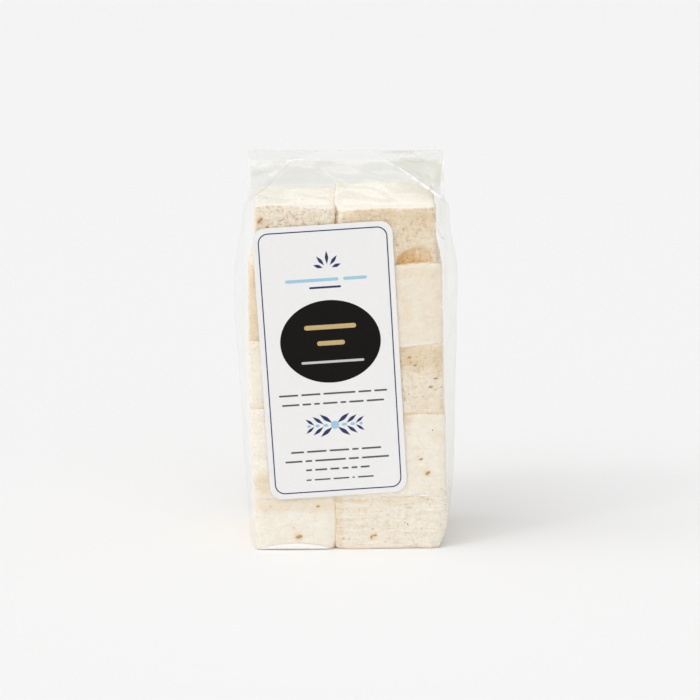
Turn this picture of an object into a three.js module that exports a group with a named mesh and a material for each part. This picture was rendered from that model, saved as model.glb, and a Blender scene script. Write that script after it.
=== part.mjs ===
// A clear side-gusset sweet bag, closed on top by a flat seam and filled with ten
// soft marshmallow blocks, two columns of five, with a paper sticker on its front.
// Millimetres. +Z is up, the front faces -Y and +X is to the right of a viewer
// who faces the front. The pack stands on its flat bottom at Z 0.
import * as THREE from 'three';

// Heights
const TOTAL_HEIGHT = 147;      // floor to the top edge of the seam
const SEAM_HEIGHT = 3.4;       // flat pressed seam along the top
const FRONT_SHOULDER = 129.5;  // where the film leaves the top blocks
const BACK_SHOULDER = 133;
const BASE_EDGE = 2;           // soft edge round the bottom
const BASE_STEPS = 3;
const BODY_STEPS = 43;
const GABLE_STEPS = 8;

// The film's front and back panels. A panel's edges are the bag's four long creases.
const STATION_HEIGHTS = [0, 6, 12, 20, 52, 78, 108, 130, 147];
const LEFT_CREASE = [34.6, 34.7, 34.8, 34.9, 35.9, 36.1, 36.1, 35.8, 35.8];
const RIGHT_CREASE = [35.0, 36.4, 37.8, 38.2, 37.2, 36.0, 35.7, 35.8, 35.8];

// How far the side gussets stand out at half depth
const GUSSET_HEIGHTS = [0, 14, 30, 60, 90, 104, 110, 116, 121, 126.5];
const LEFT_GUSSET = [36.5, 37.3, 38.3, 40.0, 41.55, 41.6, 40.5, 39.2, 38.3, 37.7];
const RIGHT_GUSSET = [36.4, 39.7, 40.7, 41.3, 41.65, 41.4, 40.3, 39.0, 38.3, 38.2];
const FOLD_START = 126.5;      // where the gussets turn inward
const LEFT_FOLD = 19.7;        // how far they fold in under the seam
const RIGHT_FOLD = 23.3;

// Depth
const FRONT_DEPTH = 21.4;      // middle of the bag to the front panel, at the floor
const BACK_DEPTH = 22.2;
const FRONT_LEAN = 1.3;        // degrees that the front panel leans back
const BACK_LEAN = 0.7;
const FRONT_TURN = 1.4;        // degrees that the front panel turns to the right
const SEAM_THICKNESS = 1.1;

// Blocks under the film
const LEFT_ROW_JOINTS = [19.4, 53.6, 79.6, 108.5];
const RIGHT_ROW_JOINTS = [20.9, 51.4, 77.4, 107.9];
const COLUMN_JOINT = -4;       // X of the joint between the two columns
const ROW_GROOVE = 0.9;
const COLUMN_GROOVE = 1.2;
const GROOVE_WIDTH = 2.6;
const CORNER_WIDTH = 5.5;      // block corners drawn back under the creases
const CORNER_DROP = 0.9;

// Grid over the bag
const ACROSS_STEPS = 26;
const DEPTH_STEPS = 10;

// Sticker
const LABEL_WIDTH = 50.8;
const LABEL_HEIGHT = 101.6;
const LABEL_CORNER = 4.6;
const LABEL_THICKNESS = 0.3;
const LABEL_GAP = 0.3;         // clear of the film
const LABEL_X = -5.7;
const LABEL_Z = 71.6;
const LABEL_TILT = 3.5;        // degrees, its right end is the higher

const tanDegrees = (angle) => Math.tan(THREE.MathUtils.degToRad(angle));
const along = (heights, values) => {
  const curve = new THREE.CubicInterpolant(heights, values, 1, new Float32Array(1));
  return (z) => curve.evaluate(z)[0];
};
const creaseLeft = along(STATION_HEIGHTS, LEFT_CREASE);
const creaseRight = along(STATION_HEIGHTS, RIGHT_CREASE);
const gussetLeft = along(GUSSET_HEIGHTS, LEFT_GUSSET);
const gussetRight = along(GUSSET_HEIGHTS, RIGHT_GUSSET);

const SEAM_BASE = TOTAL_HEIGHT - SEAM_HEIGHT;
const HEIGHT_STEPS = BASE_STEPS + BODY_STEPS + GABLE_STEPS + 2;

// Height of each ring of the grid: close rings round the base edge, even ones up
// the body and the gable, and one pair for the seam.
const ringHeight = (ring) => {
  if (ring <= BASE_STEPS) return BASE_EDGE * (1 - Math.cos((ring / BASE_STEPS) * Math.PI / 2));
  const body = ring - BASE_STEPS;
  if (body <= BODY_STEPS) return THREE.MathUtils.lerp(BASE_EDGE, FRONT_SHOULDER, body / BODY_STEPS);
  const gable = body - BODY_STEPS;
  if (gable <= GABLE_STEPS) return THREE.MathUtils.lerp(FRONT_SHOULDER, SEAM_BASE, gable / GABLE_STEPS);
  return gable === GABLE_STEPS + 1 ? SEAM_BASE + SEAM_THICKNESS / 2 : TOTAL_HEIGHT;
};

// The bottom edge is drawn in along a quarter circle.
const baseInset = (z) => {
  if (z >= BASE_EDGE) return 0;
  return BASE_EDGE - Math.sqrt(BASE_EDGE ** 2 - (BASE_EDGE - z) ** 2);
};

// 0 up to the height where the film starts to close, 1 from the seam's lower edge up
const gableShare = (start, z) => THREE.MathUtils.clamp((z - start) / (SEAM_BASE - start), 0, 1);

const crease = (side, z) => (side < 0 ? creaseLeft(z) : creaseRight(z));

// How far the side stands out at half depth. In the gable the gusset is folded in
// towards the middle, and in the seam it is pressed flat.
const gusset = (side, z) => {
  if (z > SEAM_BASE + SEAM_THICKNESS / 4) return crease(side, z);
  const body = Math.min(z, FOLD_START);
  const out = side < 0 ? gussetLeft(body) : gussetRight(body);
  return out - (side < 0 ? LEFT_FOLD : RIGHT_FOLD) * gableShare(FOLD_START, z);
};

const groove = (distance) => Math.exp(-((distance / GROOVE_WIDTH) ** 2));

// Grooves where blocks meet and where their corners turn away under the film
const panelDrop = (x, z, shoulder) => {
  const joints = x < COLUMN_JOINT ? LEFT_ROW_JOINTS : RIGHT_ROW_JOINTS;
  const rows = joints.reduce((deepest, joint) => Math.max(deepest, groove(z - joint)), 0);
  const column = z < shoulder ? groove(x - COLUMN_JOINT) : 0;
  const edge = THREE.MathUtils.clamp((Math.abs(x) - crease(x, z) + CORNER_WIDTH) / CORNER_WIDTH, 0, 1);
  return Math.max(ROW_GROOVE * rows, COLUMN_GROOVE * column) + CORNER_DROP * edge ** 2;
};

// Distance of a panel from the bag's middle plane
const panelDepth = (front, x, z) => {
  const shoulder = front ? FRONT_SHOULDER : BACK_SHOULDER;
  const foot = front ? FRONT_DEPTH - x * tanDegrees(FRONT_TURN) : BACK_DEPTH;
  const lean = Math.min(z, shoulder) * tanDegrees(front ? FRONT_LEAN : BACK_LEAN);
  const body = foot - lean - panelDrop(x, z, shoulder);
  return THREE.MathUtils.lerp(body, SEAM_THICKNESS / 2, gableShare(shoulder, z)) - baseInset(z);
};

const buildBag = () => {
  const geometry = new THREE.BoxGeometry(2, 2, HEIGHT_STEPS, ACROSS_STEPS, DEPTH_STEPS, HEIGHT_STEPS);
  const position = geometry.attributes.position;
  for (let i = 0; i < position.count; i += 1) {
    const across = position.getX(i);
    const deep = position.getY(i);
    const z = ringHeight(Math.round(position.getZ(i) + HEIGHT_STEPS / 2));
    const side = across < 0 ? -1 : 1;
    const bow = THREE.MathUtils.lerp(1 - deep ** 2, 1 - Math.abs(deep), gableShare(FOLD_START, z));
    const reach = THREE.MathUtils.lerp(crease(side, z), gusset(side, z), bow) - baseInset(z);
    const x = across * reach;
    position.setXYZ(i, x, deep * panelDepth(deep < 0, x, z), z);
  }
  geometry.deleteAttribute('uv');
  geometry.computeVertexNormals();
  return geometry;
};

const buildLabel = () => {
  const outline = new THREE.Shape();
  const right = LABEL_WIDTH / 2 - LABEL_CORNER;
  const top = LABEL_HEIGHT / 2 - LABEL_CORNER;
  outline.absarc(right, top, LABEL_CORNER, 0, Math.PI / 2);
  outline.absarc(-right, top, LABEL_CORNER, Math.PI / 2, Math.PI);
  outline.absarc(-right, -top, LABEL_CORNER, Math.PI, Math.PI * 1.5);
  outline.absarc(right, -top, LABEL_CORNER, Math.PI * 1.5, Math.PI * 2);
  const geometry = new THREE.ExtrudeGeometry(outline, {
    depth: LABEL_THICKNESS, bevelEnabled: false, curveSegments: 8,
  });
  geometry.rotateZ(THREE.MathUtils.degToRad(LABEL_TILT));
  geometry.rotateX(Math.PI / 2 - THREE.MathUtils.degToRad(FRONT_LEAN));
  geometry.rotateZ(THREE.MathUtils.degToRad(FRONT_TURN));
  const film = FRONT_DEPTH - LABEL_X * tanDegrees(FRONT_TURN) - LABEL_Z * tanDegrees(FRONT_LEAN);
  geometry.translate(LABEL_X, -film - LABEL_GAP, LABEL_Z);
  geometry.deleteAttribute('uv');
  return geometry;
};

const named = (name, geometry, colour, roughness) => {
  const material = new THREE.MeshStandardMaterial({ color: colour, roughness, metalness: 0 });
  const mesh = new THREE.Mesh(geometry, material);
  mesh.name = name;
  return mesh;
};

const bag = named('bag', buildBag(), 0xefe6d0, 0.3);
const label = named('label', buildLabel(), 0xf1f0ef, 0.55);

// The origin is under the middle of the pack.
const box = new THREE.Box3().setFromObject(bag).union(new THREE.Box3().setFromObject(label));
const middle = box.getCenter(new THREE.Vector3());
[bag, label].forEach((mesh) => mesh.geometry.translate(-middle.x, -middle.y, -box.min.z));

const pack = new THREE.Group();
pack.name = 'marshmallow_bag';
pack.add(bag, label);
export default pack;
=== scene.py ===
import bisect
import math
import random

import bmesh
import bpy
from mathutils import Matrix, Vector, noise
from mathutils.bvhtree import BVHTree


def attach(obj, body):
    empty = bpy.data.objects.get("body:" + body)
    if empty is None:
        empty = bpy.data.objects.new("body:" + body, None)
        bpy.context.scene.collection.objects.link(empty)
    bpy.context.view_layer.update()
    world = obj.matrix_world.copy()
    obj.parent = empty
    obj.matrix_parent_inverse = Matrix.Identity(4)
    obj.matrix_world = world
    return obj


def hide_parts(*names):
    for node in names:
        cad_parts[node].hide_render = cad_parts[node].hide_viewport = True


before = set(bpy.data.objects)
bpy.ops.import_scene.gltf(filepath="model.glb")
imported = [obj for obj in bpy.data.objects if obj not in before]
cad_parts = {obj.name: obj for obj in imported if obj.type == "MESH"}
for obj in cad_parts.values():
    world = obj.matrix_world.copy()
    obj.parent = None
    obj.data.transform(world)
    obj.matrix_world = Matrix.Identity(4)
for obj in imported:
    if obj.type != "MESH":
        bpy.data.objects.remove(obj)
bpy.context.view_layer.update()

# ------------------------------------------------------------------------------------
# Marshmallow blocks: ten soft pieces of whipped sugar, poured as a slab, dusted and cut
# square by hand. Poured faces are smooth and pale, cut faces tan and full of pores.
# They stand loose in two columns of five and press the film of the bag outward.
MM = 0.001
SMOOTH_JOIN = math.radians(35)


def smooth_step(low, high, value):
    share = min(max((value - low) / (high - low), 0), 1)
    return share * share * (3 - 2 * share)


def mix(a, b, share):
    return a + (b - a) * share


def along(heights, values):
    """Value at a height, on a smooth curve through the given stations."""
    rises = [(b - a) / (q - p) for p, q, a, b in zip(heights, heights[1:], values, values[1:])]
    slopes = [0, *((a + b) / 2 for a, b in zip(rises, rises[1:])), 0]

    def at(z):
        i = min(max(bisect.bisect(heights, z) - 1, 0), len(heights) - 2)
        wide = heights[i + 1] - heights[i]
        t = min(max((z - heights[i]) / wide, 0), 1)
        ends = values[i] * (1 + 2 * t) * (1 - t) ** 2 + values[i + 1] * t * t * (3 - 2 * t)
        return ends + wide * t * (1 - t) * (slopes[i] * (1 - t) - slopes[i + 1] * t)

    return at


def grid_box(across, deep, tall):
    """A cube of half size 1 cut into even cells."""
    bm = bmesh.new()
    bmesh.ops.create_cube(bm, size=2)
    for axis, cells in enumerate((across, deep, tall)):
        edges = [e for e in bm.edges if abs((e.verts[0].co - e.verts[1].co)[axis]) > 1e-6]
        bmesh.ops.subdivide_edges(bm, edges=edges, cuts=cells - 1, use_grid_fill=True)
    return bm


def make_piece(bm, name, material):
    """Ends a piece drawn in millimetres: metres, normals, shading, body and slot."""
    bmesh.ops.scale(bm, vec=(MM, MM, MM), verts=bm.verts)
    bmesh.ops.recalc_face_normals(bm, faces=bm.faces)
    for face in bm.faces:
        face.smooth = True
    for edge in bm.edges:
        edge.smooth = edge.calc_face_angle(0) < SMOOTH_JOIN
    mesh = bpy.data.meshes.new(name)
    bm.to_mesh(mesh)
    bm.free()
    mesh.materials.append(material)
    piece = bpy.data.objects.new(name, mesh)
    bpy.context.scene.collection.objects.link(piece)
    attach(piece, "root")
    return piece


def new_material(name):
    material = bpy.data.materials.new(name)
    material.use_nodes = True
    nodes = material.node_tree.nodes
    nodes.clear()
    output = nodes.new("ShaderNodeOutputMaterial")
    return material, nodes, material.node_tree.links, output


def value_node(nodes, links, operation, first, second=None, third=None, clamp=False):
    node = nodes.new("ShaderNodeMath")
    node.operation = operation
    node.use_clamp = clamp
    for socket, given in zip(node.inputs, (first, second, third)):
        if given is None:
            continue
        if isinstance(given, (int, float)):
            socket.default_value = given
        else:
            links.new(given, socket)
    return node.outputs[0]


def colour_mix(nodes, links, share, first, second):
    node = nodes.new("ShaderNodeMix")
    node.data_type = "RGBA"
    for socket, given in ((node.inputs[0], share), (node.inputs[6], first), (node.inputs[7], second)):
        if isinstance(given, (int, float)):
            socket.default_value = given
        elif isinstance(given, tuple):
            socket.default_value = (*given, 1)
        else:
            links.new(given, socket)
    return node.outputs[2]


def marshmallow_material():
    material, nodes, links, output = new_material("marshmallow")
    look = nodes.new("ShaderNodeAttribute")
    look.attribute_name = "look"
    parts = nodes.new("ShaderNodeSeparateColor")
    links.new(look.outputs["Color"], parts.inputs[0])
    cut, pore_and_shade, tan = parts.outputs[0], parts.outputs[1], parts.outputs[2]
    place = nodes.new("ShaderNodeTexCoord").outputs["Object"]

    # Space drawn out along X and Y, in which the marks of the knife run level
    level = nodes.new("ShaderNodeMapping")
    level.inputs["Scale"].default_value = (0.13, 0.13, 1)
    links.new(place, level.inputs["Vector"])

    def cloud(scale, detail=3.0, vector=place):
        node = nodes.new("ShaderNodeTexNoise")
        node.inputs["Scale"].default_value = scale
        node.inputs["Detail"].default_value = detail
        links.new(vector, node.inputs["Vector"])
        return node.outputs["Fac"]

    # The knife leaves level marks and opens pores. A poured face shows little of either
    opened = value_node(nodes, links, "MULTIPLY_ADD", cut, 0.7, 0.3)
    marks = cloud(1300, 2.0, level.outputs[0])
    marks = value_node(nodes, links, "MULTIPLY_ADD", marks, 5.0, -2.3, clamp=True)
    marks = value_node(nodes, links, "MULTIPLY", marks, opened)
    pits = value_node(nodes, links, "MULTIPLY_ADD", cloud(1500, 2.0), 9.0, -5.4, clamp=True)
    pits = value_node(nodes, links, "MULTIPLY", pits, opened)

    blotch = value_node(nodes, links, "MULTIPLY_ADD", cloud(650), 2.6, -0.95, clamp=True)
    grain = cloud(1900)
    speck = value_node(nodes, links, "MULTIPLY_ADD", cloud(1650, 1.0), 7.0, -3.7, clamp=True)
    speck = value_node(nodes, links, "MULTIPLY", speck, cut)

    # From the pale foam to tan, to the brown of pores and to the orange of stains; tan, brown and
    # orange also paint shade
    warm = value_node(nodes, links, "MULTIPLY_ADD", blotch, 0.12, tan, clamp=True)
    warm = value_node(nodes, links, "MULTIPLY_ADD", marks, 0.2, warm, clamp=True)
    warm = value_node(nodes, links, "MULTIPLY_ADD", speck, 0.3, warm, clamp=True)
    pore_and_shade = value_node(nodes, links, "MULTIPLY_ADD", pits, 0.45, pore_and_shade, clamp=True)
    colour = colour_mix(nodes, links, cut, (0.99, 0.945, 0.86), (0.98, 0.895, 0.775))
    colour = colour_mix(nodes, links, warm, colour, (0.81, 0.63, 0.40))
    colour = colour_mix(nodes, links, pore_and_shade, colour, (0.66, 0.47, 0.27))
    colour = colour_mix(nodes, links, look.outputs["Alpha"], colour, (0.84, 0.52, 0.20))

    # Vanilla dust: one grain in some of the small cells
    cells = nodes.new("ShaderNodeTexVoronoi")
    cells.inputs["Scale"].default_value = 420
    links.new(place, cells.inputs["Vector"])
    chosen = nodes.new("ShaderNodeSeparateColor")
    links.new(cells.outputs["Color"], chosen.inputs[0])
    size = value_node(nodes, links, "MULTIPLY_ADD", chosen.outputs[1], 0.07, 0.04)
    near = value_node(nodes, links, "LESS_THAN", cells.outputs["Distance"], size)
    picked = value_node(nodes, links, "GREATER_THAN", chosen.outputs[0], 0.80)
    dust = value_node(nodes, links, "MULTIPLY", near, picked)
    dust = value_node(nodes, links, "MULTIPLY", dust, chosen.outputs[2])
    colour = colour_mix(nodes, links, dust, colour, (0.33, 0.21, 0.12))

    fine = value_node(nodes, links, "MULTIPLY_ADD", cloud(800), 1.8, grain)
    fine = value_node(nodes, links, "MULTIPLY_ADD", marks, -0.5, fine)
    fine = value_node(nodes, links, "MULTIPLY_ADD", pits, -1.0, fine)
    bump = nodes.new("ShaderNodeBump")
    bump.inputs["Strength"].default_value = 0.8
    bump.inputs["Distance"].default_value = 0.00022
    links.new(fine, bump.inputs["Height"])
    skin = nodes.new("ShaderNodeBsdfPrincipled")
    skin.inputs["Roughness"].default_value = 0.82
    skin.inputs["Specular IOR Level"].default_value = 0.3
    skin.inputs["Subsurface Weight"].default_value = 0.2
    skin.inputs["Subsurface Radius"].default_value = (1.0, 0.72, 0.42)
    skin.inputs["Subsurface Scale"].default_value = 0.0006
    links.new(colour, skin.inputs["Base Color"])
    links.new(bump.outputs["Normal"], skin.inputs["Normal"])
    links.new(skin.outputs["BSDF"], output.inputs["Surface"])
    return material


# The room inside the bag, in millimetres. The four long creases are at the ends of the
# front and back panels, and the side gussets stand out between them.
STATIONS = [0, 6, 12, 20, 52, 78, 108, 130, 147]
LEFT_CREASE = along(STATIONS, [34.6, 34.7, 34.8, 34.9, 35.9, 36.1, 36.1, 35.8, 35.8])
RIGHT_CREASE = along(STATIONS, [35.0, 36.6, 37.9, 38.2, 37.2, 36.0, 35.7, 35.8, 35.8])
FRONT_DEPTH = 21.4
BACK_DEPTH = 22.2
FRONT_LEAN = math.tan(math.radians(1.3))
BACK_LEAN = math.tan(math.radians(0.7))
FRONT_TURN = math.tan(math.radians(1.4))
FRONT_SHOULDER = 129.5
BACK_SHOULDER = 133
LEFT_JOINTS = [19.4, 53.6, 79.6, 108.5]
RIGHT_JOINTS = [20.1, 51.4, 77.4, 107.4]
COLUMN_JOINT = -4.0

# How deep and how wide the panels are pressed in at the joints and at the corners
ROW_DROP = 0.3
ROW_WIDTH = 1.5
COLUMN_DROP = 0.4
COLUMN_WIDTH = 1.6
CORNER_DROP = 0.9
CORNER_WIDTH = 5.5


def panel(front, x, z):
    """Distance of the front or back panel from the middle, below its shoulder."""
    joints = LEFT_JOINTS if x < COLUMN_JOINT else RIGHT_JOINTS
    row = max(math.exp(-(((z - joint) / ROW_WIDTH) ** 2)) for joint in joints)
    column = math.exp(-(((x - COLUMN_JOINT) / COLUMN_WIDTH) ** 2))
    crease = LEFT_CREASE(z) if x < 0 else RIGHT_CREASE(z)
    edge = min(max((abs(x) - crease + CORNER_WIDTH) / CORNER_WIDTH, 0), 1)
    drop = max(ROW_DROP * row, COLUMN_DROP * column) + CORNER_DROP * edge ** 2
    if front:
        return FRONT_DEPTH - x * FRONT_TURN - min(z, FRONT_SHOULDER) * FRONT_LEAN - drop
    return BACK_DEPTH - min(z, BACK_SHOULDER) * BACK_LEAN - drop


# Flecks that stand out on the front: X, Z, size, how strongly they stain the foam, and
# the turn of the long ones in degrees
FRONT_FLECKS = [
    (23.4, 73.0, 1.1, 0.3, 0), (23.7, 71.2, 0.6, 0.2), (25.4, 70.0, 0.9, 0.2, 25),
    (32.9, 65.0, 1.0, 0.1, 5), (31.0, 61.9, 1.1, 0.4, 10), (35.2, 61.7, 0.6, 0.0),
    (23.1, 59.2, 0.6, 0.0), (32.0, 45.6, 0.6, 0.1), (27.8, 34.5, 1.0, 0.5, 20),
    (30.3, 29.1, 1.4, 1.0, 38), (26.6, 35.6, 0.4, 0.1), (9.5, 4.6, 1.0, 1.0, 60),
    (10.8, 5.2, 0.9, 1.0, 10), (10.0, 7.7, 0.6, 0.1), (3.2, 14.3, 0.4, 0.0), (6.0, 11.7, 0.45, 0.0),
    (16.1, 9.3, 0.5, 0.1), (19.3, 8.9, 0.5, 0.2), (21.9, 10.2, 0.5, 0.1), (23.0, 9.4, 0.6, 0.2),
    (28.2, 7.8, 0.45, 0.0), (27.7, 11.5, 0.4, 0.0), (-1.2, 4.0, 0.5, 0.2), (1.2, 4.0, 0.5, 0.2),
    (-17.6, 5.0, 1.7, 1.0, 12), (-28.1, 16.7, 0.5, 0.8), (-19.4, 8.5, 0.5, 0.0),
    (-10.4, 16.7, 0.9, 0.8, 15), (-31.1, 123.8, 1.6, 1.0, 48), (-28.5, 121.6, 0.8, 0.6),
    (20.7, 120.5, 0.7, 0.4), (29.1, 120.9, 0.4, 0.1), (20.8, 108.4, 0.8, 0.5),
    (24.6, 108.6, 0.6, 0.5), (22.4, 109.6, 0.6, 0.5), (27.2, 110.6, 0.5, 0.4),
]

# Size of a block's mesh cells, its half depth before it is fitted between the panels, and
# the depth along which the humps of its top are placed
CELL = 0.5
BLOCK_HALF_DEPTH = 19.8
HUMP_RANGE = 40
MARSHMALLOW = marshmallow_material()
block_trees = []


def pits(place, cell, share):
    """0 on the face, up to 1 in ragged little hollows."""
    level = noise.fractal(place / cell, 0.8, 2.0, 2)
    return smooth_step(share, share + 0.45, level)


def make_block(name, foot, head, low, high, poured, warm, gap=0.35, edge=0.55, rough=1.0,
               streaks=0.05, joint=0.6, rim=0.0, bulge=0.0, soft=(), bands=(), patches=(),
               humps=(), dent=None):
    """A block between its left and right ends at foot and head, its low and high faces.

    low, high: front left, front right, back left, back right.
    poured: the axis of its smooth faces. warm: how tan its sides are.
    gap: how far its front stays behind the film. edge: radius of its edges.
    rough: how coarse its cut faces are. streaks: strength of the marks of the knife.
    joint: how strongly painted shade browns its lower edge and the edge along the middle joint.
    rim: how strongly painted highlight pales that lower edge instead.
    bulge: how far its right side swells at half height.
    soft: (side X, Y, Z, radius) of worn edges.
    bands: (axis, middle, half width, strength) of darker or lighter strips on the front, some painted
    shade or highlight.
    patches: (X, Z, half width, half height, strength) of round ones.
    humps: (X, Y, half width, half depth, rise) of swellings of the top.
    dent: X, Z, half width to its left and right, half height and depth; painted shade darkens its
    hollow.
    """
    width = (foot[1] - foot[0] + head[1] - head[0]) / 2
    half = Vector((width / 2, BLOCK_HALF_DEPTH, (sum(high) - sum(low)) / 8))
    bm = grid_box(*(max(2, round(2 * size / CELL)) for size in half))
    look = bm.verts.layers.float_color.new("look")
    shift = Vector((foot[0] * 3.7, low[0] * 1.9, head[1] * 5.1))
    axis = "XYZ".index(poured)
    for vert in bm.verts:
        # Rounded edges, with a larger radius where they are worn
        place = Vector((vert.co.x * half.x, vert.co.y * half.y, vert.co.z * half.z))
        here = place + shift
        radius = edge * (1 + 0.6 * noise.noise(here / 5))
        for *sides, worn in soft:
            near = 1.0
            for i, side in enumerate(sides):
                if side:
                    near *= 1 - smooth_step(worn, 2.4 * worn, half[i] - side * place[i])
            radius = mix(radius, worn, near)
        inner = Vector(min(max(place[i], radius - half[i]), half[i] - radius) for i in range(3))
        out = (place - inner).normalized()
        place = inner + out * radius

        # Skin, knife marks, pores and foam, sunk into the face
        cut = 1 - smooth_step(0.5, 0.85, abs(out[axis]))
        skin = 0.10 * noise.noise(here / 9) + 0.10 * noise.fractal(here / 2.0, 0.6, 2.1, 3)
        drawn = noise.noise(Vector((here.x / 12, here.y / 9, here.z / 0.95)))
        scored = max(0, 1 - 6 * abs(noise.noise(Vector((here.x / 17, here.y / 9, here.z / 1.7 + 9)))))
        skin += streaks * (drawn + 0.5 * scored)
        hole = pits(here + shift, 1.1, 0.42)
        foam = 0.0
        if cut > 0:
            hole = max(hole, cut * pits(here, 1.3, 0.3))
            foam = 0.20 * noise.fractal(here / 1.6, 0.6, 2.1, 3) + 0.16 * noise.noise(here / 4.1)
        sunk = skin + cut * rough * foam + (0.12 + 0.25 * cut * rough) * hole
        place = place - out * (sunk - 0.06)

        # From the plain box to the room that the block fills in the bag
        u, t, w = ((place[i] / half[i] + 1) / 2 for i in range(3))
        bottom = mix(mix(low[0], low[1], u), mix(low[2], low[3], u), t)
        top = mix(mix(high[0], high[1], u), mix(high[2], high[3], u), t)
        x = mix(mix(foot[0], foot[1], u), mix(head[0], head[1], u), w) + bulge * u * 4 * w * (1 - w)
        for hump_x, hump_y, wide, long, rise in humps:
            along_y = HUMP_RANGE * t - HUMP_RANGE / 2 - hump_y
            top += rise * math.exp(-((x - hump_x) / wide) ** 2 - (along_y / long) ** 2)
        z = mix(bottom, top, w)
        y = mix(gap - panel(True, x, z), panel(False, x, z) - 0.7, t)
        above = z - bottom
        z += 0.5 * noise.noise(Vector((x / 12, y / 15, z / 30))) * smooth_step(0, 14, z)
        x += 0.45 * noise.noise(Vector((7, y / 15, z / 9))) * (1 - smooth_step(20, 30, abs(x)))

        # Painted shade at the joints and at the foot, brown and orange; a paler lower rim is painted
        # highlight
        facing = smooth_step(0.5, 0.9, -out.y)
        patchy = noise.fractal(here / 2, 0.7, 2.0, 3)
        column_shade = (1 - smooth_step(0.7, 0.97, -out.y)) * smooth_step(0.02, 0.3, -out.y)
        column_shade *= joint * (1 - smooth_step(0.8, 1.6, abs(x - COLUMN_JOINT)))
        lowest = smooth_step(0.02, 0.3, -out.y) * math.exp(-max(above, 0) / 0.8)
        lower_edge_shade = joint * (low[0] > 1) * lowest
        foot_shade = (low[0] < 1) * smooth_step(0.02, 0.3, -out.y) * math.exp(-max(z, 0) / 0.35)
        shade = 0.5 * column_shade + 0.15 * lower_edge_shade - rim * lowest
        stain_and_shade = 0.5 * column_shade + lower_edge_shade * (0.6 + 0.4 * patchy) + 0.7 * foot_shade

        # Bands and patches, some of them painted shade or highlight, painted shade in the dent's
        # hollow, and the stains round flecks
        for band_axis, middle, reach, strength in bands:
            off = ((x if band_axis == "X" else z) - middle + 1.2 * noise.noise(here / 4)) / reach
            shade += strength * facing * (1 - smooth_step(0.4, 1.2, abs(off)))
        for patch_x, patch_z, wide, tall, strength in patches:
            off = math.hypot((x - patch_x) / wide, (z - patch_z) / tall) + 0.3 * noise.noise(here / 2.5)
            shade += strength * facing * (1 - smooth_step(0.4, 1.1, off))
        if dent and facing > 0:
            off = math.hypot((x - dent[0]) / dent[2 + (x > dent[0])], (z - dent[1]) / dent[4])
            deep = facing * (1 - smooth_step(0.84, 1.0, off + 0.05 * noise.noise(here / 8)))
            away = smooth_step(-6, 5, x - dent[0] + 0.9 * (z - dent[1]))
            y += dent[5] * deep * (mix(1.5, 0.7, away) + 0.5 * noise.fractal(here / 2.2, 0.6, 2.0, 3))
            shade += mix(0.9, 0.2, away) * deep
            stain_and_shade = deep * (mix(0.75, 0.3, away) + 0.4 * patchy)
            hole = max(hole, 1.5 * deep * pits(here, 0.8, 0.22 + 0.4 * away))
        for fleck_x, fleck_z, size, spread, *_ in FRONT_FLECKS:
            if spread and facing > 0 and abs(x - fleck_x) < 3 and abs(z - fleck_z) < 3:
                off = math.hypot(x - fleck_x, z - fleck_z) / (0.75 * size + 0.2)
                stain_and_shade = max(stain_and_shade, 0.75 * spread * math.exp(-off * off))

        # Cut, dark, tan and stained shares of the colour; dark, tan and stained also carry the painted
        # shade
        upright = 1 - smooth_step(0.5, 0.9, abs(out.z))
        mottled = 0.13 * noise.fractal(here / 3.5, 0.7, 2.0, 3) * (0.4 + 0.6 * upright)
        tint = warm * upright + mottled + streaks * (0.6 * drawn + 0.8 * scored * upright - 0.2) + shade
        dark = hole * (0.2 + 0.3 * cut * min(rough, 1)) + 0.35 * foot_shade
        vert[look] = (cut * min(rough, 1), min(dark, 1), min(max(tint, 0), 1), min(max(stain_and_shade, 0), 1))
        vert.co = (x, y, max(z, 0.04))
    tree = BVHTree.FromBMesh(bm)
    block_trees.append((tree, Vector((sum(foot) / 2, 0, (sum(low) + sum(high)) / 8))))
    return make_piece(bm, name, MARSHMALLOW)


make_block("left_block_1", (-33.5, -3.9), (-33.0, -3.9), (108.4,) * 4,
           (129.0, 128.2, 130.5, 130.5), "Z", warm=0.06, gap=0.6, rough=1.3, edge=0.7,
           bands=[("Z", 112, 14, 0.18)], humps=[(-22, -18, 8, 8, 0.8)])
# Its darker strip at the left end is painted shade.
make_block("left_block_2", (-35.6, -3.9), (-35.4, -3.9), (79.5,) * 4, (108.5,) * 4, "Y",
           warm=0.4, bands=[("X", -33.6, 2.2, 0.35)], soft=[(-1, -1, 1, 2.6)])
make_block("left_block_3", (-35.3, -3.9), (-35.6, -3.9), (53.5,) * 4, (79.7,) * 4, "Y", warm=0.2)
make_block("left_block_4", (-34.1, -3.9), (-35.3, -3.9), (19.3,) * 4, (53.7,) * 4, "Y",
           warm=0.1, edge=0.35, joint=0.2, bands=[("Z", 25, 6, 0.1), ("X", -4, 30, 0.03)],
           patches=[(-31.5, 25, 4, 5, 0.35)])
# Its darker band just below the sticker's lower edge is a painted shadow of the sticker.
make_block("left_block_5", (-33.4, -3.9), (-34.0, -3.9), (0.1,) * 4, (19.5,) * 4, "Y",
           warm=0.1, edge=0.38, soft=[(0, 0, -1, 0.3), (1, -1, -1, 1.2)],
           bands=[("Z", 17, 3.4, 0.28)])
# Its paler strip at the left end is painted highlight on the rounded corner; its dent holds painted
# shade.
make_block("right_block_1", (-4.1, 32.8), (-3.9, 32.4), (105.3, 108.0, 110.1, 110.1),
           (127.9, 128.5, 132.4, 131.4), "Z", warm=0.29, gap=0.6, edge=0.8, rough=0.8,
           joint=0.3, soft=[(-1, -1, 0, 3.0)], humps=[(19, 13, 8.5, 8, 2.6)],
           bands=[("X", 20, 24, 0.12), ("Z", 124, 3.5, 0.2), ("X", -2.6, 1.8, -0.5)],
           dent=(28.0, 106.9, 11.0, 4.2, 7.3, 1.2))
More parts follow.
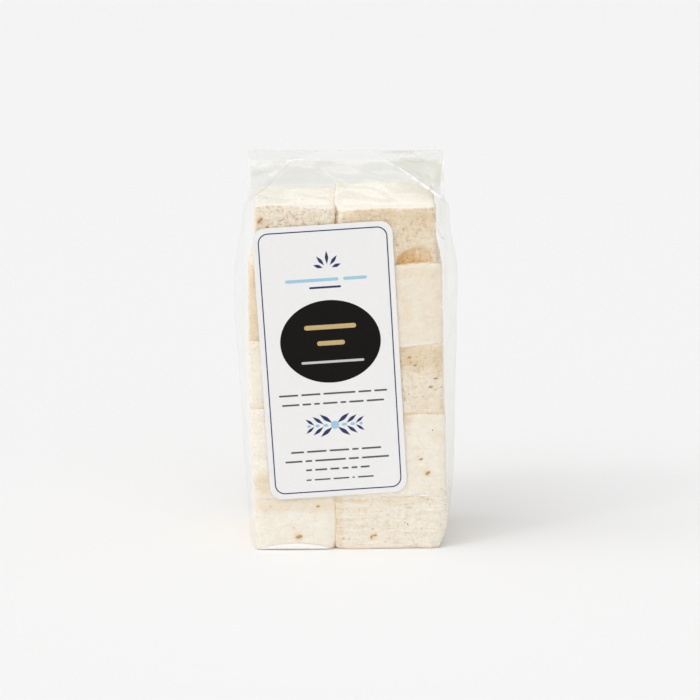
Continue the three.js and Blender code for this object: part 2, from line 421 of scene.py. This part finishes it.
# Its pale strip at the top edge and its pale lower rim are painted highlights.
make_block("right_block_2", (-4.1, 35.6), (-4.1, 34.8), (74.9, 78.2, 77.0, 77.0),
           (105.4, 108.2, 110.3, 110.3), "Y", warm=0.34, edge=0.3, joint=0.0, rim=0.6,
           bands=[("Z", 106.8, 0.9, -0.16), ("Z", 104.5, 2.5, 0.1)],
           soft=[(1, -1, -1, 0.6), (1, -1, 1, 1.4)])
# Its dark band at the top is painted shade under the block above; its brown lower edge is painted
# shade.
make_block("right_block_3", (-4.1, 36.5), (-4.1, 35.6), (51.2,) * 4, (75.1, 78.4, 77.2, 77.2),
           "X", warm=0.17, gap=0.45, rough=0.6, edge=0.35, streaks=0.2, joint=1.0,
           bands=[("Z", 73, 6.0, 0.50), ("Z", 60, 8, 0.06)])
# Its paler strip near the lower edge is painted highlight.
make_block("right_block_4", (-4.1, 37.3), (-4.1, 36.6), (20.0,) * 4, (51.4,) * 4, "Y",
           warm=0.17, streaks=0.1, edge=0.4, joint=0.15, bands=[("Z", 21.5, 1.4, -0.1)],
           patches=[(21, 49.5, 5, 4, 0.35)])
# Its dark band at the top and the one at its left end are painted shade; the pale right end is painted
# light.
make_block("right_block_5", (-4.1, 34.7), (-4.1, 37.6), (0.1,) * 4, (20.2,) * 4, "Z",
           warm=0.04, gap=0.45, rough=0.5, edge=0.45, streaks=0.3, bulge=1.6,
           soft=[(0, 0, -1, 0.3), (-1, -1, -1, 1.2)],
           bands=[("Z", 18.8, 1.3, 0.35), ("X", -2.8, 2.0, 0.35), ("X", 35, 7, -0.3)])

# ------------------------------------------------------------------------------------
# Flecks: ground vanilla pod and coarse pepper, whipped into the sugar before it sets.
# Each is a small hard grain, flattened and half sunk in a face of its block.
SMALL_FLECKS = 46


def fleck_material():
    material, nodes, links, output = new_material("fleck")
    place = nodes.new("ShaderNodeTexCoord").outputs["Object"]
    cloud = nodes.new("ShaderNodeTexNoise")
    cloud.inputs["Scale"].default_value = 260
    links.new(place, cloud.inputs["Vector"])
    colour = colour_mix(nodes, links, cloud.outputs["Fac"], (0.27, 0.17, 0.09), (0.60, 0.39, 0.20))
    grain = nodes.new("ShaderNodeBsdfPrincipled")
    grain.inputs["Roughness"].default_value = 0.7
    links.new(colour, grain.inputs["Base Color"])
    links.new(grain.outputs["BSDF"], output.inputs["Surface"])
    return material


def add_fleck(bm, point, normal, size, lean=None):
    """lean: the turn of its long side, in degrees."""
    turn = normal.to_track_quat("Z", "Y").to_matrix()
    made = bmesh.ops.create_icosphere(bm, subdivisions=2 if size > 0.55 else 1, radius=1)
    long = size * (rng.uniform(0.5, 0.7) if lean is None else 0.8)
    wide = size * (rng.uniform(0.28, 0.4) if lean is None else 0.32)
    spin = Matrix.Rotation(rng.uniform(0, math.tau) if lean is None else math.radians(lean), 3, "Z")
    for vert in made["verts"]:
        raw = vert.co * (1 + 0.3 * noise.noise(vert.co * 1.7 + point))
        vert.co = turn @ spin @ Vector((raw.x * long, raw.y * wide, raw.z * size * 0.2)) + point
        vert.co.z = max(vert.co.z, 0.02)


rng = random.Random(41)
bm = bmesh.new()
for x, z, size, spread, *lean in FRONT_FLECKS:
    hits = [tree.ray_cast(Vector((x, -40, z)), Vector((0, 1, 0))) for tree, middle in block_trees]
    hits = [hit for hit in hits if hit[0] is not None]
    if hits:
        point, normal = min(hits, key=lambda hit: hit[3])[:2]
        add_fleck(bm, point, normal, size, *lean)
for tree, middle in block_trees:
    for _ in range(SMALL_FLECKS):
        way = Vector(rng.gauss(0, 1) for _ in range(3)).normalized()
        point, normal = tree.ray_cast(middle, way)[:2]
        if point is not None and point.z > 0.6:
            add_fleck(bm, point, normal, 0.22 + 0.4 * rng.random() ** 3)
make_piece(bm, "flecks", fleck_material())

# ------------------------------------------------------------------------------------
# Bag: one sheet of clear, slightly green film with a folded gusset in each side. It is
# filled from above, drawn together over the top blocks and welded flat along the seam.
# It stands for the CAD node bag together with the blocks inside it.
TOTAL_HEIGHT = 147
SEAM_BASE = 143.6
SEAM_HALF = 0.28
THINNEST = 0.2
BASE_EDGE = 0.35
HALF_WIDTH = 41.7
HALF_DEPTH = 22.15
FOLD_START = 126.5
GUSSET_STATIONS = [0, 14, 30, 60, 90, 104, 110, 116, 121, FOLD_START]
LEFT_GUSSET = along(GUSSET_STATIONS, [36.5, 37.3, 38.3, 40.0, 41.55, 41.6, 40.5, 39.2, 38.3, 37.7])
RIGHT_GUSSET = along(GUSSET_STATIONS, [36.4, 39.7, 40.7, 41.3, 41.65, 41.4, 40.3, 39.0, 38.3, 38.2])
LEFT_FOLD = along([FOLD_START, 130, 133.6, 137.3, 140.3, 143.3, TOTAL_HEIGHT],
                  [37.7, 33.2, 28.4, 25.2, 22.2, 18.3, 10.3])
RIGHT_FOLD = along([FOLD_START, 130, 134.3, 138.8, 142, TOTAL_HEIGHT],
                   [38.2, 34.1, 27.7, 21.4, 17.0, 10.0])

# The lip into which the front's lower edge curls out
LIP_MIDDLE = -19
LIP_HALF_WIDTH = 14.8
LIP_HEIGHT = 2.3
LIP_REACH = 0.45

# The film's grid: cells across and deep, then its rings and the height that they reach
CELLS = (128, 46)
RINGS = [(5, BASE_EDGE), (14, 4), (160, FRONT_SHOULDER), (54, TOTAL_HEIGHT)]

# Sharp crinkles in the front: X and Z of both ends, half width, how white (painted glint) and how
# cloudy (painted shade line)
CRINKLES = [
    (31.9, 122.5, 36.0, 116.3, 0.9, 0.35, 0.0), (36.0, 116.0, 36.0, 92.0, 0.7, 0.3, 0.0),
    (26.0, 20.5, 30.5, 20.5, 0.7, 0.4, 0.0), (14.0, 146.2, 24.7, 146.2, 0.5, 0.0, 0.7),
    (19.9, 144.8, 25.4, 144.8, 0.6, 0.8, 0.0), (26.2, 145.8, 33.6, 146.3, 0.6, 0.9, 0.0),
    (21.0, 143.3, 28.6, 143.3, 0.7, 0.0, 0.7), (-20.6, 142.5, -33.4, 139.0, 1.2, 0.0, 0.6),
    (-21.5, 142.8, -16.5, 143.4, 0.6, 0.5, 0.0), (18.4, 140.4, 35.2, 130.0, 0.7, 0.0, 0.7),
    (34.3, 130.0, 34.4, 122.6, 1.5, 0.0, 0.9),
]


def film_height(ring):
    low = 0
    for rings, high in RINGS:
        if ring <= rings:
            share = ring / rings if low else 1 - math.cos(ring / rings * math.pi / 2)
            return mix(low, high, share)
        ring -= rings
        low = high


def ridge(place):
    """Near 1 along thin wandering lines."""
    return (1 - min(abs(noise.noise(place)) * 3.2, 1)) ** 2


def crinkle_at(x, z):
    """How white with painted glints and how cloudy with painted shade lines the film is at a place on
    its front.
    """
    white_and_glint, cloud = 0.0, 0.0
    for x0, z0, x1, z1, half, glint_strength, shade_line in CRINKLES:
        run = Vector((x1 - x0, z1 - z0))
        share = min(max(run.dot(Vector((x - x0, z - z0))) / run.length_squared, 0), 1)
        off = math.hypot(x - x0 - share * run.x, z - z0 - share * run.y) / half
        white_and_glint = max(white_and_glint, glint_strength * math.exp(-off * off))
        cloud = max(cloud, shade_line * math.exp(-off * off))
    return white_and_glint, cloud


def film_depth(deep, across, x, z):
    """How far the film lies from the middle, then its sag, streaks and ridges."""
    shoulder = mix(FRONT_SHOULDER, BACK_SHOULDER, (deep + 1) / 2)
    share = min(max((z - shoulder) / (SEAM_BASE - shoulder), 0), 1)
    loose = math.sin(math.pi * share) * (1 - across ** 8)
    streak = noise.noise(Vector((x / 24, 3.0 * (deep > 0), z / 2.8)))
    sag = noise.noise(Vector((x / 13, 8.0 * (deep > 0) + 2, z / 9)))
    line = ridge(Vector((x / 16 + z / 12, 4.0 + 6 * (deep > 0), z / 7)))
    slack = loose * (0.4 * streak + 0.9 * sag - 0.25 * line)
    depth = mix(panel(deep < 0, x, z), SEAM_HALF, share) + slack
    return max(depth, THINNEST), sag, streak, loose * line ** 2


def film_material():
    material, nodes, links, output = new_material("clear_film")
    look = nodes.new("ShaderNodeAttribute")
    look.attribute_name = "look"
    parts = nodes.new("ShaderNodeSeparateColor")
    links.new(look.outputs["Color"], parts.inputs[0])
    fold_and_glint, cloudy_and_shade = parts.outputs[0], parts.outputs[1]
    weight = nodes.new("ShaderNodeLayerWeight")
    weight.inputs["Blend"].default_value = 0.5
    facing = weight.outputs["Facing"]
    steep = value_node(nodes, links, "POWER", facing, 9.0)
    shine = value_node(nodes, links, "MULTIPLY_ADD", steep, 0.12, 0.05, clamp=True)
    shine = value_node(nodes, links, "MULTIPLY_ADD", parts.outputs[2], -0.03, shine, clamp=True)
    edge_on = value_node(nodes, links, "POWER", facing, 1.6)
    tint = colour_mix(nodes, links, edge_on, (0.998, 0.999, 0.996), (0.995, 0.996, 0.989))
    tint = colour_mix(nodes, links, cloudy_and_shade, tint, (0.902, 0.902, 0.868))
    place = nodes.new("ShaderNodeTexCoord").outputs["Object"]
    ripple = nodes.new("ShaderNodeTexNoise")
    ripple.inputs["Scale"].default_value = 140
    ripple.inputs["Detail"].default_value = 4
    links.new(place, ripple.inputs["Vector"])
    bump = nodes.new("ShaderNodeBump")
    bump.inputs["Strength"].default_value = 0.2
    bump.inputs["Distance"].default_value = 0.0003
    links.new(ripple.outputs["Fac"], bump.inputs["Height"])

    # The clear sheet: what is behind it, tinted, under a weak shine; its cloudy tint also paints shade
    clear = nodes.new("ShaderNodeBsdfTransparent")
    links.new(tint, clear.inputs["Color"])
    gloss = nodes.new("ShaderNodeBsdfGlossy")
    gloss.inputs["Roughness"].default_value = 0.1
    links.new(bump.outputs["Normal"], gloss.inputs["Normal"])
    sheet = nodes.new("ShaderNodeMixShader")
    links.new(shine, sheet.inputs[0])
    links.new(clear.outputs[0], sheet.inputs[1])
    links.new(gloss.outputs[0], sheet.inputs[2])

    # The white of sharp folds, also used to paint glints of light as highlights
    scatter = nodes.new("ShaderNodeBsdfDiffuse")
    scatter.inputs["Color"].default_value = (1.0, 0.99, 0.975, 1)
    through = nodes.new("ShaderNodeBsdfTranslucent")
    through.inputs["Color"].default_value = (0.95, 0.955, 0.93, 1)
    white_and_glint = nodes.new("ShaderNodeMixShader")
    white_and_glint.inputs[0].default_value = 0.1
    links.new(scatter.outputs[0], white_and_glint.inputs[1])
    links.new(through.outputs[0], white_and_glint.inputs[2])
    milky = value_node(nodes, links, "MULTIPLY_ADD", cloudy_and_shade, 0.05, fold_and_glint, clamp=True)
    both = nodes.new("ShaderNodeMixShader")
    links.new(milky, both.inputs[0])
    links.new(sheet.outputs[0], both.inputs[1])
    links.new(white_and_glint.outputs[0], both.inputs[2])
    links.new(both.outputs[0], output.inputs["Surface"])
    return material


rows = sum(rings for rings, height in RINGS)
bm = grid_box(*CELLS, rows)
look = bm.verts.layers.float_color.new("look")
for vert in bm.verts:
    across = math.sin(vert.co.x * math.pi / 2) * 0.6 + vert.co.x * 0.4
    deep = mix(vert.co.y, math.copysign(smooth_step(0, 1, abs(vert.co.y)), vert.co.y), 0.6)
    z = film_height(round((vert.co.z + 1) / 2 * rows))
    left = across < 0
    crease = LEFT_CREASE(z) if left else RIGHT_CREASE(z)
    folded = smooth_step(FOLD_START, FOLD_START + 4, z)
    if z < FOLD_START:
        out = LEFT_GUSSET(z) if left else RIGHT_GUSSET(z)
    else:
        out = LEFT_FOLD(z) if left else RIGHT_FOLD(z)
    bow = mix(1 - deep * deep, 1 - abs(deep), folded)
    inset = 0 if z >= BASE_EDGE else BASE_EDGE - math.sqrt(BASE_EDGE ** 2 - (BASE_EDGE - z) ** 2)
    side_wave = noise.noise(Vector((deep * 2.4, z / 24, 5.0 if left else 9.0)))
    side_line = ridge(Vector((deep * 1.6 + z / 40, z / 17, 2.0 if left else 7.0)))
    bend = (0.7 * side_wave - 0.25 * side_line) * (1 - deep * deep) * abs(across) ** 6
    reach = mix(crease, out, bow) - inset + bend * smooth_step(0, 12, z) * (1 - folded)
    x = min(max(across * reach, -HALF_WIDTH), HALF_WIDTH)
    depth, sag, streak, line = film_depth(deep, across, x, z)

    lip = 0.3 + LIP_HEIGHT * (1 - ((x - LIP_MIDDLE) / LIP_HALF_WIDTH) ** 2)
    curl = (deep < -0.3) * smooth_step(0.1, 0.6, lip) * (1 - smooth_step(lip - 0.5, lip + 0.3, z))
    proud = LIP_REACH * curl * max(1 - z / max(lip, 0.5), 0)
    vert.co = (x, deep * min(depth - inset + proud, HALF_DEPTH), z)

    # White where it is folded sharp: corners, ridges, the seam, both ends and the lip, much of it
    # painted highlight
    front = deep < -0.3
    corner = smooth_step(0.86, 1.0, abs(x) / crease) * smooth_step(0.90, 1, abs(deep)) * front
    side = smooth_step(0.9, 1, abs(across))
    fold_and_glint = 0.15 * corner ** 3 + 0.12 * line + 0.1 * math.exp(-(((z - SEAM_BASE) / 0.4) ** 2))
    fold_and_glint += 0.15 * smooth_step(TOTAL_HEIGHT - 0.9, TOTAL_HEIGHT - 0.3, z)
    fold_and_glint += 0.15 * smooth_step(0.15, 0.4, z) * (1 - smooth_step(0.4, 0.9, z))
    fold_and_glint += curl * smooth_step(0.35, 0.75, z)

    # Cloudy where the panels close, on the right also outside the fold, and in the gussets; the right's
    # extra cloud is painted shade
    closing = smooth_step(134.8, 137.2, z) if front else smooth_step(128, 132, z)
    closing *= 1 - smooth_step(SEAM_BASE - 1, SEAM_BASE, z)
    within = smooth_step(-1.2, 0.6, out - abs(x))
    cloudy_and_shade = closing * mix(0.05 if left else 0.7, 0.6 + 0.35 * sag + 0.3 * streak, within)
    cloudy_and_shade += side * (1 - folded) * (0.0 if left else mix(0.3, 0.15, smooth_step(60, 100, z)))
    cloudy_and_shade += 0.15 * side_line * side
    if front:
        white_and_glint, cloud = crinkle_at(x, z)
        fold_and_glint += white_and_glint
        cloudy_and_shade += cloud
    vert[look] = (min(fold_and_glint, 1), min(max(cloudy_and_shade, 0), 1), side * (1 - folded), 1)
film = make_piece(bm, "bag_film", film_material())
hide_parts("bag")

# ------------------------------------------------------------------------------------
# Pressed folds: where the film is bent sharp it turns into a fine white rib. The longest
# runs down from the seam along a gusset fold. Short ones lie where the film is pinched.

# Radius of each rib, then X and Z of its start, its middle and its end
# The ribs' white is partly painted highlight: it stands for glints of light on the folds.
RIBS = [
    (0.50, 18.6, 141.4, 27.2, 136.1, 35.7, 130.8),
    (0.26, -21.5, 142.4, -19.0, 142.9, -16.5, 143.3),
    (0.40, 32.3, 122.8, 33.8, 119.3, 36.0, 115.8),
    (0.20, 26.2, 20.4, 28.2, 20.6, 30.4, 20.4),
    (0.15, 31.0, 0.3, 31.5, 0.8, 31.9, 1.4),
    (0.15, 33.0, 0.3, 33.4, 1.0, 33.9, 1.9),
    (0.14, 34.3, 0.4, 34.6, 1.2, 35.1, 2.4),
]
RIB_STEPS = 24


def fold_and_glint_rib(bm, points, radius):
    """A thin round rib along the points, drawn out to nothing at its ends."""
    turn = (points[-1] - points[0]).to_track_quat("Z", "Y").to_matrix().to_4x4()
    made = bmesh.ops.create_circle(bm, cap_ends=True, radius=1, segments=6, matrix=turn)
    face = made["verts"][0].link_faces[0]
    for number, point in enumerate(points):
        if number:
            drawn = bmesh.ops.extrude_face_region(bm, geom=[face])["geom"]
            if number > 1:
                bmesh.ops.delete(bm, geom=[face], context="FACES_ONLY")
            face = next(item for item in drawn if isinstance(item, bmesh.types.BMFace))
        middle = face.calc_center_median()
        size = radius * max(0.1, math.sin(math.pi * (number / (len(points) - 1)) ** 1.4) ** 0.6)
        for vert in face.verts:
            vert.co = point + (vert.co - middle).normalized() * size


def fold_glint_material():
    material, nodes, links, output = new_material("fold_and_glint_rib")
    place = nodes.new("ShaderNodeTexCoord").outputs["Object"]
    patchy = nodes.new("ShaderNodeTexNoise")
    patchy.inputs["Scale"].default_value = 380
    links.new(place, patchy.inputs["Vector"])
    share = value_node(nodes, links, "MULTIPLY_ADD", patchy.outputs["Fac"], 1.8, 0.0, clamp=True)
    rib = nodes.new("ShaderNodeBsdfPrincipled")
    rib.inputs["Base Color"].default_value = (0.99, 0.985, 0.96, 1)
    rib.inputs["Roughness"].default_value = 0.35
    rib.inputs["Subsurface Weight"].default_value = 0.7
    rib.inputs["Subsurface Radius"].default_value = (1.0, 1.0, 0.95)
    rib.inputs["Subsurface Scale"].default_value = 0.0008
    clear = nodes.new("ShaderNodeBsdfTransparent")
    both = nodes.new("ShaderNodeMixShader")
    links.new(share, both.inputs[0])
    links.new(clear.outputs[0], both.inputs[1])
    links.new(rib.outputs[0], both.inputs[2])
    links.new(both.outputs[0], output.inputs["Surface"])
    return material


bm = bmesh.new()
for radius, *ends in RIBS:
    bend = [along([0, 1, 2], ends[axis::2]) for axis in (0, 1)]
    points = []
    for number in range(RIB_STEPS + 1):
        x, z = (curve(2 * number / RIB_STEPS) for curve in bend)
        points.append(Vector((x, -film_depth(-1, x / RIGHT_CREASE(z), x, z)[0] - 0.1, z)))
    fold_and_glint_rib(bm, points, radius)
make_piece(bm, "film_folds_and_glints", fold_glint_material())

# ------------------------------------------------------------------------------------
# Sticker: white coated paper with rounded corners, stuck on the front by hand, a little
# askew. It bridges the joints between the blocks and follows the lean of the film.
# It stands for the CAD node label.
STICKER_WIDTH = 50.8
STICKER_HEIGHT = 101.6
STICKER_CORNER = 4.6
STICKER_MIDDLE = (-5.68, 71.6)
STICKER_TILT = math.radians(3.5)
PAPER_BACK = 0.16
PAPER_FACE = 0.30
STRIP = 2


def rounded_sheet(width, height, corner):
    """A flat sheet with rounded corners, in its own u and v."""
    bm = bmesh.new()
    bmesh.ops.create_grid(bm, x_segments=1, y_segments=1, size=0.5)
    bmesh.ops.scale(bm, vec=(width, height, 1), verts=bm.verts)
    steps = max(4, round(corner * 3))
    bmesh.ops.bevel(bm, geom=bm.verts[:], offset=corner * 0.999, segments=steps,
                    profile=0.5, affect="VERTICES", material=-1)
    return bm


def lay_on_front(bm, back, face):
    """Cuts a flat sheet into strips, gives it thickness and lays it on the bag's front."""
    for axis in (0, 1):
        low = min(vert.co[axis] for vert in bm.verts)
        high = max(vert.co[axis] for vert in bm.verts)
        normal = Vector((axis == 0, axis == 1, 0))
        for step in range(math.ceil(low / STRIP), math.floor(high / STRIP) + 1):
            geometry = bm.verts[:] + bm.edges[:] + bm.faces[:]
            bmesh.ops.bisect_plane(bm, geom=geometry, dist=1e-5,
                                   plane_co=normal * step * STRIP, plane_no=normal)
    raised = bmesh.ops.extrude_face_region(bm, geom=bm.faces[:])
    lifted = [item for item in raised["geom"] if isinstance(item, bmesh.types.BMVert)]
    for vert in bm.verts:
        vert.co.z = back
    for vert in lifted:
        vert.co.z = face
    for vert in bm.verts:
        u, v, lift = vert.co
        x = STICKER_MIDDLE[0] + u * math.cos(STICKER_TILT) - v * math.sin(STICKER_TILT)
        z = STICKER_MIDDLE[1] + u * math.sin(STICKER_TILT) + v * math.cos(STICKER_TILT)
        plane = FRONT_DEPTH - x * FRONT_TURN - z * FRONT_LEAN
        soft = 0.10 * noise.noise(Vector((x / 14, 1, z / 14))) - 0.10
        vert.co = (x, -(plane + lift + soft), z)
    return bm


def paper_material():
    material, nodes, links, output = new_material("sticker_paper")
    place = nodes.new("ShaderNodeTexCoord").outputs["Object"]
    fibre = nodes.new("ShaderNodeTexNoise")
    fibre.inputs["Scale"].default_value = 900
    fibre.inputs["Detail"].default_value = 5
    links.new(place, fibre.inputs["Vector"])
    colour = colour_mix(nodes, links, fibre.outputs["Fac"], (0.835, 0.83, 0.82), (0.89, 0.885, 0.875))
    bump = nodes.new("ShaderNodeBump")
    bump.inputs["Strength"].default_value = 0.12
    bump.inputs["Distance"].default_value = 0.00005
    links.new(fibre.outputs["Fac"], bump.inputs["Height"])
    paper = nodes.new("ShaderNodeBsdfPrincipled")
    paper.inputs["Roughness"].default_value = 0.5
    paper.inputs["Specular IOR Level"].default_value = 0.4
    links.new(colour, paper.inputs["Base Color"])
    links.new(bump.outputs["Normal"], paper.inputs["Normal"])
    links.new(paper.outputs["BSDF"], output.inputs["Surface"])
    return material


bm = lay_on_front(rounded_sheet(STICKER_WIDTH, STICKER_HEIGHT, STICKER_CORNER), PAPER_BACK, PAPER_FACE)
sticker = make_piece(bm, "sticker", paper_material())
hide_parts("label")

# ------------------------------------------------------------------------------------
# Print on the sticker: thin inks. A navy line runs round the edge, a black oval carries
# two gold bars and a white one, and plain bars stand where lines of words would be.
INK = 0.03


def ink_material(name, colour, darker):
    material, nodes, links, output = new_material(name)
    place = nodes.new("ShaderNodeTexCoord").outputs["Object"]
    cloud = nodes.new("ShaderNodeTexNoise")
    cloud.inputs["Scale"].default_value = 700
    links.new(place, cloud.inputs["Vector"])
    mottled = colour_mix(nodes, links, cloud.outputs["Fac"], darker, colour)
    ink = nodes.new("ShaderNodeBsdfPrincipled")
    ink.inputs["Roughness"].default_value = 0.5
    ink.inputs["Specular IOR Level"].default_value = 0.09
    links.new(mottled, ink.inputs["Base Color"])
    links.new(ink.outputs["BSDF"], output.inputs["Surface"])
    return material


def merge(into, part):
    mesh = bpy.data.meshes.new("part")
    part.to_mesh(mesh)
    part.free()
    into.from_mesh(mesh)
    bpy.data.meshes.remove(mesh)


def bar(into, u, v, length, height, level=0):
    part = rounded_sheet(length, height, height / 2)
    bmesh.ops.translate(part, vec=(u, v, 0), verts=part.verts)
    merge(into, lay_on_front(part, PAPER_FACE - 0.01 + INK * level, PAPER_FACE + INK * (level + 1)))


def oval(into, u, v, wide, high, turn=0.0, pointed=0.0):
    part = bmesh.new()
    bmesh.ops.create_circle(part, cap_ends=True, radius=1, segments=72 if wide > 5 else 28)
    for vert in part.verts:
        x, y = vert.co.x, vert.co.y * (1 - pointed * abs(vert.co.x) ** 1.5)
        x, y = x * wide, y * high
        c, s = math.cos(turn), math.sin(turn)
        vert.co = (u + x * c - y * s, v + x * s + y * c, 0)
    merge(into, lay_on_front(part, PAPER_FACE - 0.01, PAPER_FACE + INK))


def line_of_words(into, u, v, length, height, words, gap=1.1):
    """Bars of the given shares of a line's length."""
    room = length - gap * (len(words) - 1)
    start = u - length / 2
    for share in words:
        wide = room * share / sum(words)
        bar(into, start + wide / 2, v, wide, height)
        start += wide + gap


navy = bmesh.new()
ring = rounded_sheet(47.0, 97.8, 3.75)
bmesh.ops.inset_individual(ring, faces=ring.faces[:], thickness=0.42, use_even_offset=True)
bmesh.ops.delete(ring, geom=[max(ring.faces, key=lambda face: face.calc_area())], context="FACES_ONLY")
merge(navy, lay_on_front(ring, PAPER_FACE - 0.01, PAPER_FACE + INK))
bar(navy, -0.2, 27.9, 11.6, 0.75)
for lean, reach in ((90, 5.2), (52, 4.6), (128, 4.6), (18, 3.8), (162, 3.8)):
    turn = math.radians(lean)
    oval(navy, 1.0 + math.cos(turn) * (reach * 0.5 + 1.6), 34.6 + math.sin(turn) * (reach * 0.5 + 1.6),
         reach * 0.5, 0.62, turn, pointed=1.0)
for side in (-1, 1):
    for number, reach in enumerate((3.0, 2.6, 2.1)):
        for up in (-1, 1):
            oval(navy, 0.2 + side * (3.2 + 3.0 * number), -23.7 + up * (2.5 - 0.5 * number),
                 reach, 0.75 - 0.12 * number, side * up * math.radians(38), pointed=1.0)
ink = ink_material("navy_ink", (0.045, 0.055, 0.16), (0.035, 0.042, 0.12))
make_piece(navy, "print_navy", ink)

sky = bmesh.new()
line_of_words(sky, 0.3, 30.7, 29.8, 1.15, (9, 4), gap=1.8)
oval(sky, 0.2, -23.7, 1.5, 1.5)
for side in (-1, 1):
    for number in range(3):
        oval(sky, 0.2 + side * (3.4 + 3.1 * number), -23.7, 0.95 - 0.15 * number, 0.55)
ink = ink_material("light_blue_ink", (0.40, 0.63, 0.78), (0.33, 0.56, 0.72))
make_piece(sky, "print_light_blue", ink)

black = bmesh.new()
oval(black, 0.5, 7.7, 18.4, 15.4)
ink = ink_material("black_ink", (0.009, 0.007, 0.006), (0.006, 0.005, 0.004))
make_piece(black, "print_oval", ink)

gold = bmesh.new()
bar(gold, 0.7, 13.2, 19.0, 1.7, level=1)
bar(gold, 0.65, 7.2, 10.2, 1.7, level=1)
ink = ink_material("gold_ink", (0.62, 0.47, 0.24), (0.52, 0.38, 0.18))
make_piece(gold, "print_gold", ink)

pale = bmesh.new()
bar(pale, 0.9, 0.2, 23.0, 0.9, level=1)
ink = ink_material("white_ink", (0.62, 0.62, 0.62), (0.55, 0.55, 0.55))
make_piece(pale, "print_white", ink)

grey = bmesh.new()
line_of_words(grey, 0.2, -11.7, 39.8, 0.66, (6, 6, 10, 4, 4))
line_of_words(grey, 0.0, -15.3, 37.6, 0.66, (6, 3, 2, 5, 2, 5, 6))
line_of_words(grey, 0.0, -33.3, 33.4, 0.66, (4, 6, 6, 2, 6))
line_of_words(grey, 0.2, -36.8, 38.4, 0.66, (5, 2, 9, 3, 8))
line_of_words(grey, 0.2, -40.3, 23.6, 0.66, (2, 4, 3, 2, 2, 3))
line_of_words(grey, 0.8, -44.1, 25.0, 0.55, (2, 6, 6, 1, 6))
ink = ink_material("dark_ink", (0.13, 0.13, 0.135), (0.09, 0.09, 0.095))
make_piece(grey, "print_words", ink)

# ------------------------------------------------------------------------------------
# Floor, lights and camera: a plain pale table, soft light from the upper left and a
# still camera a little above the pack.
floor_mesh = bmesh.new()
bmesh.ops.create_grid(floor_mesh, x_segments=1, y_segments=1, size=4)
bmesh.ops.translate(floor_mesh, vec=(0, 0, -0.00004), verts=floor_mesh.verts)
mesh = bpy.data.meshes.new("floor")
floor_mesh.to_mesh(mesh)
floor_mesh.free()
floor = bpy.data.objects.new("floor", mesh)
bpy.context.scene.collection.objects.link(floor)
material, nodes, links, output = new_material("floor")
table = nodes.new("ShaderNodeBsdfPrincipled")
table.inputs["Base Color"].default_value = (0.9, 0.9, 0.9, 1)
table.inputs["Roughness"].default_value = 0.9
table.inputs["Specular IOR Level"].default_value = 0.2
links.new(table.outputs["BSDF"], output.inputs["Surface"])
mesh.materials.append(material)

world = bpy.data.worlds.new("studio")
bpy.context.scene.world = world
world.use_nodes = True
backdrop = world.node_tree.nodes["Background"]
backdrop.inputs["Color"].default_value = (1.0, 0.998, 0.998, 1)
backdrop.inputs["Strength"].default_value = 0.405


def sky_light(name, toward, strength, wide):
    """Even light from a far softbox that stands in the given direction."""
    light = bpy.data.lights.new(name, "SUN")
    light.energy = strength
    light.angle = math.radians(wide)
    lamp = bpy.data.objects.new(name, light)
    lamp.rotation_euler = Vector(toward).to_track_quat("Z", "Y").to_euler()
    bpy.context.scene.collection.objects.link(lamp)


sky_light("overhead", (0, 0.05, 1), 0.765, 75)
sky_light("strip", (0.02, 0.03, 1), 0.05, 10)
sky_light("front", (-0.1, -1, 0.35), 0.94, 110)
sky_light("key", (-0.80, -0.38, 1.0), 0.65, 50)
sky_light("glint", (-0.75, -0.45, 0.9), 0.16, 7)
sky_light("left", (-1, -0.1, 0.12), 0.68, 40)
sky_light("right", (1, -0.15, 0.02), 0.28, 60)

# The camera's focal length and the picture's width are in pixels, the sensor in millimetres
FOCAL_PIXELS = 2013
PICTURE_PIXELS = 700
SENSOR_WIDTH = 36
camera = bpy.data.objects.new("camera", bpy.data.cameras.new("camera"))
camera.data.sensor_width = SENSOR_WIDTH
camera.data.lens = FOCAL_PIXELS / PICTURE_PIXELS * SENSOR_WIDTH
camera.data.clip_start = 0.05
camera.data.clip_end = 20
turn, rise, away = math.radians(-0.18), math.radians(13.02), 0.7568
back = Vector((math.sin(turn) * math.cos(rise), -math.cos(turn) * math.cos(rise), math.sin(rise)))
camera.location = Vector((0.00153, 0, 0.0715)) + back * away
camera.rotation_euler = (-back).to_track_quat("-Z", "Y").to_euler()
bpy.context.scene.collection.objects.link(camera)
bpy.context.scene.camera = camera
bpy.context.scene.view_settings.view_transform = "Standard"
